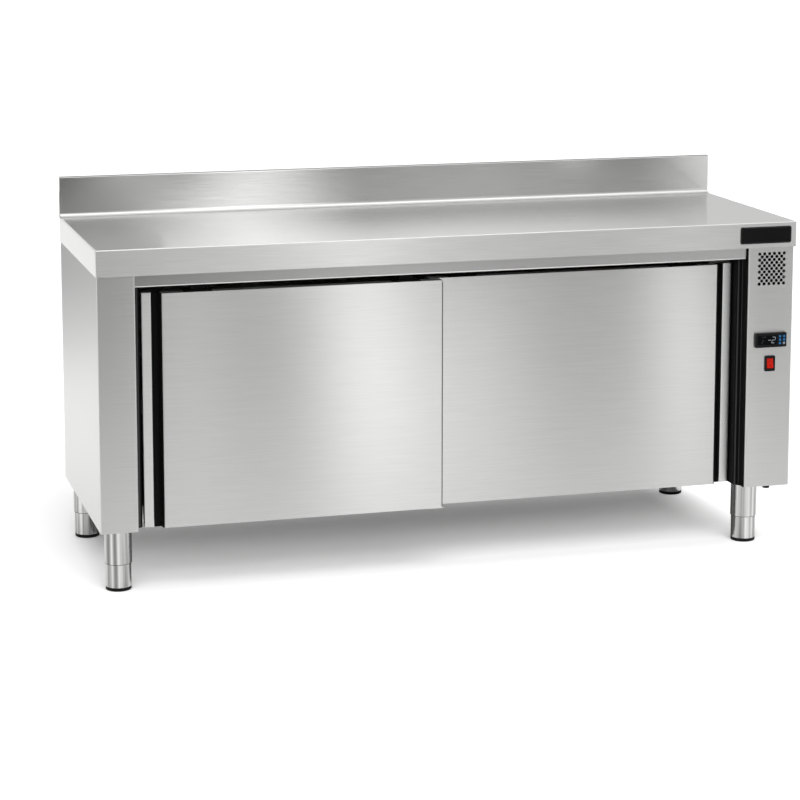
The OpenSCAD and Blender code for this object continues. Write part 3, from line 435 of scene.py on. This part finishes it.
# The display's figure and minus, from its right edge, and its dots, from its left edge and its middle
MARK_PROUD_MM, MARK_DEPTH_MM, DOT_R_MM = 0.05, 0.15, 0.8
FIGURE_IN_MM, MINUS_IN_MM = 9.5, 20.5
DOTS_MM = ((14.5, 8.0), (20.5, 8.4), (14.5, -1.0), (12.5, -6.0))
window_low, window_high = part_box("controller_window")
display_y = window_low.y - MARK_PROUD_MM * MM
display_z = (window_low.z + window_high.z) / 2
figures = digit("2", window_high.x - FIGURE_IN_MM * MM, display_z)
figures += digit("-", window_high.x - MINUS_IN_MM * MM, display_z)
dots = [dot(window_low.x + x * MM, display_z + z * MM, DOT_R_MM * MM) for x, z in DOTS_MM]
shown = (("display_figures", figures, lit_white), ("display_marks", dots, dot_grey))
for name, outlines, material in shown:
    marks = plate_mesh(name, outlines, display_y, MARK_DEPTH_MM * MM)
    fitting(marks, material, "cabinet")

# Marks on the two slopes of the rocker: a bar over the pin and a ring under it
REST_TILT, SLOPE, VALLEY_MM = math.radians(9), math.radians(9), 3.894
MARK_UP_MM, BAR_HALF_MM, RING_R_MM, RING_SIDES = 5.4, (0.7, 3.0), (2.6, 1.5), 20
PRINT_PROUD_MM, PRINT_DEPTH_MM = 0.05, 0.1
pin = Vector(named(record["behaviour"]["joints"], "power_rocker_tilt")["pos_m"])
rest = Matrix.Translation(pin) @ Matrix.Rotation(-REST_TILT, 4, "X")
valley = rest @ Matrix.Translation((0, -VALLEY_MM * MM, 0))
upper, lower = (valley @ Matrix.Rotation(side * SLOPE, 4, "X") for side in (1, -1))
mark_up = MARK_UP_MM * MM
half_w, half_h = (size * MM for size in BAR_HALF_MM)
stroke = [oblong((-half_w, half_w), (mark_up - half_h, mark_up + half_h))]
ring = band(*(dot(0, -mark_up, radius * MM, RING_SIDES) for radius in RING_R_MM))
for name, outlines, place in (("rocker_bar", stroke, upper), ("rocker_ring", ring, lower)):
    mark = plate_mesh(name, outlines, -PRINT_PROUD_MM * MM, PRINT_DEPTH_MM * MM)
    mark.transform(place)
    fitting(mark, dark_print, "power_rocker")

# A fine raised line inside the edge of the badge plate
BADGE_CORNER_MM, LINE_INSETS_MM, LINE_PROUD_MM, LINE_DEPTH_MM = 5.0, (2.0, 2.6), 0.12, 0.2
badge_low, badge_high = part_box("badge_plate")
line = band(*(rounded_outline(badge_low, badge_high, inset * MM, BADGE_CORNER_MM * MM)
              for inset in LINE_INSETS_MM))
badge_line = plate_mesh("badge_line", line, badge_low.y - LINE_PROUD_MM * MM, LINE_DEPTH_MM * MM)
fitting(badge_line, line_grey, "cabinet")

RIVET_MM = {"Flange radius": 4.2, "Flange height": 0.9, "Dome radius": 2.6, "Dome height": 1.0}
RIVET_SIDES, DOME_TAPER = 20, 0.72
FACE_BACK = (-math.pi / 2, 0, 0)


def rivet_field(name, columns, rows, width, height, centre, material):
    """A field of blind rivets on a face that looks to +Y, made by Geometry Nodes."""
    tree = bpy.data.node_groups.new(name, "GeometryNodeTree")
    face = tree.interface
    sizes = {"Width": width, "Height": height, "Columns": columns, "Rows": rows}
    sizes.update((label, size * MM) for label, size in RIVET_MM.items())
    sockets = {}
    for label, value in sizes.items():
        kind = "NodeSocketInt" if isinstance(value, int) else "NodeSocketFloat"
        sockets[label] = face.new_socket(label, in_out="INPUT", socket_type=kind)
    face.new_socket("Geometry", in_out="OUTPUT", socket_type="NodeSocketGeometry")
    given = add(tree, "NodeGroupInput").outputs
    grid = add(tree, "GeometryNodeMeshGrid", {"Size X": given["Width"], "Size Y": given["Height"],
                                              "Vertices X": given["Columns"], "Vertices Y": given["Rows"]})
    upright = add(tree, "GeometryNodeTransform", {"Geometry": grid.outputs["Mesh"], "Translation": centre,
                                                  "Rotation": FACE_BACK})
    flange_sizes = {"Vertices": RIVET_SIDES, "Radius Bottom": given["Flange radius"],
                    "Radius Top": given["Dome radius"], "Depth": given["Flange height"]}
    flange = add(tree, "GeometryNodeMeshCone", flange_sizes)
    dome_top = add(tree, "ShaderNodeMath", {0: given["Dome radius"], 1: DOME_TAPER}, operation="MULTIPLY")
    dome_sizes = {"Vertices": RIVET_SIDES, "Radius Bottom": given["Dome radius"],
                  "Radius Top": dome_top.outputs[0], "Depth": given["Dome height"]}
    dome = add(tree, "GeometryNodeMeshCone", dome_sizes)
    step = add(tree, "ShaderNodeCombineXYZ", {"Z": given["Flange height"]})
    raised = add(tree, "GeometryNodeTransform", {"Geometry": dome.outputs["Mesh"],
                                                 "Translation": step.outputs[0]})
    head = add(tree, "GeometryNodeJoinGeometry")
    tree.links.new(flange.outputs["Mesh"], head.inputs[0])
    tree.links.new(raised.outputs["Geometry"], head.inputs[0])
    copies = add(tree, "GeometryNodeInstanceOnPoints", {"Points": upright.outputs["Geometry"],
                                                        "Instance": head.outputs["Geometry"],
                                                        "Rotation": FACE_BACK})
    real = add(tree, "GeometryNodeRealizeInstances", {"Geometry": copies.outputs["Instances"]})
    painted = add(tree, "GeometryNodeSetMaterial", {"Geometry": real.outputs["Geometry"],
                                                    "Material": material})
    add(tree, "NodeGroupOutput", {"Geometry": painted.outputs["Geometry"]})
    holder = bpy.data.objects.new(name + "_maker", bpy.data.meshes.new(name + "_maker"))
    scene.collection.objects.link(holder)
    modifier = holder.modifiers.new(name, "NODES")
    modifier.node_group = tree
    for label, value in sizes.items():
        modifier[sockets[label].identifier] = value
    evaluated = holder.evaluated_get(bpy.context.evaluated_depsgraph_get())
    mesh = bpy.data.meshes.new_from_object(evaluated)
    mesh.name = name
    holder.modifiers.remove(modifier)
    bpy.data.objects.remove(holder)
    return mesh


# Rivets through the rear folds of the two sides
FOLD_MIDDLE_MM, RIVET_INSET_MM, RIVET_COLUMNS, RIVET_ROWS = 12, 45, 2, 6
left_low, left_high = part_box("left_panel")
right_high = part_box("right_panel")[1]
rivet_width = right_high.x - left_low.x - 2 * FOLD_MIDDLE_MM * MM
rivet_height = left_high.z - left_low.z - 2 * RIVET_INSET_MM * MM
rivet_centre = ((left_low.x + right_high.x) / 2, left_high.y, (left_low.z + left_high.z) / 2)
rivets = rivet_field("back_rivets", RIVET_COLUMNS, RIVET_ROWS, rivet_width, rivet_height, rivet_centre,
                     tube_steel)
rivets.materials.clear()
fitting(rivets, tube_steel, "cabinet")

# A thin black rubber strip on the meeting edge of the left door, clear of the right door behind it; its
# black also stands as a painted shade line in the gap between the doors
STRIP_MM, STRIP_INSET_MM = (2.0, 20.0), 4.0
skin_low, skin_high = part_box("left_door_skin")
strip_inset = STRIP_INSET_MM * MM
strip_width, strip_depth = (size * MM for size in STRIP_MM)
strip_x = (skin_high.x, skin_high.x + strip_width)
strip_z = (skin_low.z + strip_inset, skin_high.z - strip_inset)
strip = oblong(strip_x, strip_z)
edge_strip = plate_mesh("left_door_edge_strip", [strip], skin_low.y + strip_inset, strip_depth)
fitting(edge_strip, seal_rubber, "left_door")

# Strips that close the back of the upstand, between the back panel and the end caps of the worktop
CAP_MM, BACK_STRIP_INSET_MM, BACK_STRIP_MM = 1.5, 0.2, 0.8
back_low, back_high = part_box("back_panel")
gaps_x = ((top_low.x + CAP_MM * MM, back_low.x), (back_high.x, top_high.x - CAP_MM * MM))
closing = [oblong(gap_x, (left_high.z, back_high.z)) for gap_x in gaps_x]
closing_y = back_low.y + BACK_STRIP_INSET_MM * MM
back_strips = plate_mesh("back_edge_strips", closing, closing_y, BACK_STRIP_MM * MM)
fitting(back_strips, body_steel, "cabinet")


def ring_mesh(name, places, radii, heights, sides=48):
    """Square-edged rings about upright axes."""
    (inner, outer), (foot, head) = radii, heights
    profile = [(inner, foot), (outer, foot), (outer, head), (inner, head)]
    count = len(profile)
    points, faces = [], []
    for x, y in places:
        first = len(points)
        for i in range(sides):
            angle = 2 * math.pi * i / sides
            points += [(x + r * math.cos(angle), y + r * math.sin(angle), z) for r, z in profile]
        for i in range(sides):
            here, there = first + i * count, first + (i + 1) % sides * count
            for k in range(count):
                m = (k + 1) % count
                faces.append([here + k, there + k, there + m, here + m])
    mesh = bpy.data.meshes.new(name)
    mesh.from_pydata(points, [], faces)
    return mesh


# Black rings under the leg tubes, clear of the feet that slide in them: dark pieces that stand as the
# painted shade line at the step from tube to foot. The spindles reach lower than their tubes, so the height
# of the tubes' lower end is given here
TUBE_R_MM, TUBE_Z_MM, SHADE_RING_R_MM, SHADE_RING_H_MM = 33.5, 67.0, (31.7, 33.3), 1.1
tubes_low, tubes_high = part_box("leg_tubes")
tube_r = TUBE_R_MM * MM
leg_places = [(x, y) for x in (tubes_low.x + tube_r, tubes_high.x - tube_r)
              for y in (tubes_low.y + tube_r, tubes_high.y - tube_r)]
shade_ring_z = ((TUBE_Z_MM - SHADE_RING_H_MM) * MM, TUBE_Z_MM * MM)
shade_rings = ring_mesh("leg_shade_rings", leg_places, [r * MM for r in SHADE_RING_R_MM], shade_ring_z)
fitting(shade_rings, black_abs, "cabinet")

# Studio: a white sweep, where what the camera and the metal see is lifted to white
LEVEL, UPRIGHT = (0, 0, 0), (math.pi / 2, 0, 0)


def seen_by_eye(tree):
    """1 for rays of the camera and for reflected or refracted ones, else 0."""
    rays = add(tree, "ShaderNodeLightPath").outputs
    seen = rays["Is Camera Ray"]
    for kind in ("Is Glossy Ray", "Is Transmission Ray"):
        seen = add(tree, "ShaderNodeMath", {0: seen, 1: rays[kind]}, operation="MAXIMUM").outputs[0]
    return seen


def off_from(tree, value, middle):
    """How far a value is from a middle, either way."""
    gap = add(tree, "ShaderNodeMath", {0: value, 1: middle}, operation="SUBTRACT").outputs[0]
    return add(tree, "ShaderNodeMath", {0: gap}, operation="ABSOLUTE").outputs[0]


def stage_sheet(name, centre, turn, size, material, hidden=True):
    """A flat sheet of the studio; a hidden one shows only in reflections."""
    across, up = size[0] / 2, size[1] / 2
    corners = [(-across, -up, 0), (across, -up, 0), (across, up, 0), (-across, up, 0)]
    mesh = bpy.data.meshes.new(name)
    mesh.from_pydata(corners, [], [(0, 1, 2, 3)])
    mesh.materials.append(material)
    sheet = bpy.data.objects.new(name, mesh)
    scene.collection.objects.link(sheet)
    sheet.location = centre
    sheet.rotation_euler = turn
    if hidden:
        sheet.visible_camera = sheet.visible_diffuse = sheet.visible_shadow = False


def soft_card(name, centre, turn, size, strength):
    """A glowing card that fades out towards its edges, so that its reflection has no outline."""
    made, tree = empty_material(name)
    place = add(tree, "ShaderNodeTexCoord").outputs["Object"]
    shrink = (2 / size[0], 2 / size[1], 1)
    unit = add(tree, "ShaderNodeVectorMath", {0: place, 1: shrink}, operation="MULTIPLY")
    fade = add(tree, "ShaderNodeTexGradient", {"Vector": unit.outputs[0]}, gradient_type="SPHERICAL")
    power = add(tree, "ShaderNodeMath", {0: fade.outputs["Fac"], 1: strength}, operation="MULTIPLY")
    glow = add(tree, "ShaderNodeEmission", {"Color": WHITE, "Strength": power.outputs[0]})
    clear = add(tree, "ShaderNodeBsdfTransparent")
    both = add(tree, "ShaderNodeAddShader", {0: glow.outputs[0], 1: clear.outputs[0]})
    add(tree, "ShaderNodeOutputMaterial", {"Surface": both.outputs[0]})
    stage_sheet(name, centre, turn, size, made)


def cloth(name, centre, size, low, high, fade):
    """A dim upright cloth that the metal mirrors, from one level to another between the fade's heights."""
    made, tree = empty_material(name)
    place = add(tree, "ShaderNodeTexCoord").outputs["Object"]
    height = add(tree, "ShaderNodeSeparateXYZ", {0: place}).outputs["Y"]
    foot, head = (z - centre[2] for z in fade)
    ramp = {"Value": height, "From Min": foot, "From Max": head, "To Min": low, "To Max": high}
    level = add(tree, "ShaderNodeMapRange", ramp, interpolation_type="SMOOTHSTEP")
    dim = add(tree, "ShaderNodeEmission", {"Color": WHITE, "Strength": level.outputs["Result"]})
    add(tree, "ShaderNodeOutputMaterial", {"Surface": dim.outputs[0]})
    stage_sheet(name, centre, UPRIGHT, size, made)


# World: white to the eye, and dimmer as a light
AMBIENT = 0.38
world = bpy.data.worlds.new("white_studio")
scene.world = world
world.use_nodes = True
air = world.node_tree
air.nodes.clear()
brightness = add(air, "ShaderNodeMapRange", {"Value": seen_by_eye(air), "To Min": AMBIENT, "To Max": 1.0})
sky = add(air, "ShaderNodeBackground", {"Color": WHITE, "Strength": brightness.outputs["Result"]})
add(air, "ShaderNodeOutputWorld", {"Surface": sky.outputs["Background"]})

# Floor: matt white paint, just under the pads, with a slight lift of its own so that its far end melts into
# the background. The lift is less in two bands under the cabinet, a painted shadow where the shade is
# deepest, and more in a painted pool of light at the right end
FLOOR_Z, FLOOR_SIZE, FLOOR_LIFT = -0.0005, (60, 60), 0.22
# Each patch: the X of its middle, how far off it starts and is full, the Y of its middle, its reach along Y
# and its lift
FLOOR_PAINTED_SHADE_AND_LIGHT = ((0.0, 0.95, 0.8, -0.255, 0.13, -0.2), (0.0, 0.95, 0.8, 0.22, 0.26, -0.16),
                 (0.9, 0.2, 0.0, 0.3, 0.8, 0.65))
floor_paint, paint = empty_material("white_floor_paint")
floor_place = add(paint, "ShaderNodeTexCoord").outputs["Object"]
floor_xyz = add(paint, "ShaderNodeSeparateXYZ", {0: floor_place}).outputs
lift = FLOOR_LIFT
for middle_x, start, full, middle_y, reach, amount in FLOOR_PAINTED_SHADE_AND_LIGHT:
    off_x = off_from(paint, floor_xyz["X"], middle_x)
    off_y = off_from(paint, floor_xyz["Y"], middle_y)
    across = add(paint, "ShaderNodeMapRange", {"Value": off_x, "From Min": start, "From Max": full,
                                               "To Max": amount}, interpolation_type="SMOOTHSTEP")
    along = add(paint, "ShaderNodeMapRange", {"Value": off_y, "From Min": reach, "From Max": 0.0},
                interpolation_type="SMOOTHSTEP")
    lift = add(paint, "ShaderNodeMath", {0: across.outputs["Result"], 1: along.outputs["Result"], 2: lift},
               operation="MULTIPLY_ADD").outputs[0]
seen_lift = add(paint, "ShaderNodeMath", {0: seen_by_eye(paint), 1: lift}, operation="MULTIPLY")
floor_glow = add(paint, "ShaderNodeEmission", {"Color": WHITE, "Strength": seen_lift.outputs[0]})
matt = add(paint, "ShaderNodeBsdfDiffuse", {"Color": linear("#f3f3f3")})
lifted = add(paint, "ShaderNodeAddShader", {0: floor_glow.outputs[0], 1: matt.outputs[0]})
add(paint, "ShaderNodeOutputMaterial", {"Surface": lifted.outputs[0]})
stage_sheet("floor", (0, 0, FLOOR_Z), LEVEL, FLOOR_SIZE, floor_paint, hidden=False)

# Dim cloths, which the metal mirrors: the upper half of the fronts, the two ends of the worktop, and the top
# of the left side
cloth("front_cloth", centre=(0.5, -2.6, 3.0), size=(12, 6), low=0.06, high=0.8, fade=(0.9, 2.1))
cloth("back_cloth", centre=(-0.55, 2.6, 1.7), size=(0.7, 2.4), low=0.2, high=0.9, fade=(0.4, 3.0))
cloth("side_cloth", centre=(-1.35, 2.6, 0.3), size=(0.9, 0.6), low=0.95, high=0.42, fade=(0.0, 0.45))
cloth("right_cloth", centre=(2.45, 2.6, 1.7), size=(1.4, 2.6), low=0.75, high=0.95, fade=(0.4, 3.0))

# A dark sheet on the floor under the cabinet, hidden from the camera: a painted shade for the shadow there,
# which the inner sides of the legs mirror
UNDER_CENTRE, UNDER_SIZE, UNDER_LEVEL = (0.02, 0.02, 0.001), (1.64, 0.5), 0.14
under_black, under = empty_material("under_painted_shade")
dark = add(under, "ShaderNodeEmission", {"Color": WHITE, "Strength": UNDER_LEVEL})
add(under, "ShaderNodeOutputMaterial", {"Surface": dark.outputs[0]})
stage_sheet("under_painted_shade", UNDER_CENTRE, LEVEL, UNDER_SIZE, under_black)

# Upright cards, as X, Z, width, height and strength. Those in front are the pale streaks on the doors, the
# column and the upstand; those behind are the pale zone on the worktop. Each stands a little behind the
# last, because cards in one plane hide each other's light
FRONT_CARDS = ((0.17, 0.08, 0.46, 1.2, 2.2), (0.45, 0.12, 0.8, 0.9, 1.8), (0.12, 0.6, 0.5, 0.6, 0.8),
               (0.05, 1.5, 0.9, 1.8, 2.4), (0.9, 1.0, 2.2, 1.2, 0.8), (1.3, 0.25, 0.34, 1.1, 2.6),
               (1.95, 0.85, 0.85, 1.4, 1.7), (-0.38, 0.0, 0.4, 1.4, 0.8), (-0.36, 0.8, 0.46, 1.0, 0.8))
BACK_CARDS = ((0.12, 1.6, 0.9, 3.0, 0.45), (0.75, 1.6, 1.7, 3.0, 0.35))
FRONT_CARDS_Y, BACK_CARDS_Y, CARD_STEP = -1.8, 2.4, 0.02
for side, cards, y in (("front", FRONT_CARDS, FRONT_CARDS_Y), ("back", BACK_CARDS, BACK_CARDS_Y)):
    for i, (x, z, width, height, strength) in enumerate(cards):
        away = math.copysign(i * CARD_STEP, y)
        soft_card(f"{side}_card_{i}", (x, y + away, z), UPRIGHT, (width, height), strength)

# Overhead card, whose image is the white line in the cove and along the front edge of the worktop
soft_card("card_overhead", centre=(0, -1.3, 3.2), turn=LEVEL, size=(10, 3.4), strength=1.7)

# Key light: broad and soft from above the camera's side; its image in the metal is left to the cards
KEY_POWER, KEY_SPREAD, KEY_WAY = 3.0, math.radians(60), (0.1, 1.0, -1.3)
key = bpy.data.lights.new("key", "SUN")
key.energy = KEY_POWER
key.angle = KEY_SPREAD
lamp = bpy.data.objects.new("key", key)
scene.collection.objects.link(lamp)
lamp.rotation_euler = Vector(KEY_WAY).to_track_quat("-Z", "Y").to_euler()
lamp.visible_glossy = False

# Camera, fitted to the photograph; the sizes are millimetres, radians and pixels of an 800-pixel frame
FRAME_PX, SENSOR_MM = 800, 36
EYE_MM = (-1770.6, -6009.5, 1737.8)
YAW, PITCH = 0.276, 0.151
FOCAL_PX, SHIFT_PX = 2461.8, -160
camera = bpy.data.cameras.new("camera")
camera.sensor_width = SENSOR_MM
camera.lens = FOCAL_PX / FRAME_PX * SENSOR_MM
camera.shift_y = SHIFT_PX / FRAME_PX
eye = bpy.data.objects.new("camera", camera)
scene.collection.objects.link(eye)
eye.location = Vector(EYE_MM) * MM
forward = Vector((math.sin(YAW) * math.cos(PITCH), math.cos(YAW) * math.cos(PITCH), -math.sin(PITCH)))
eye.rotation_euler = forward.to_track_quat("-Z", "Y").to_euler()
scene.camera = eye
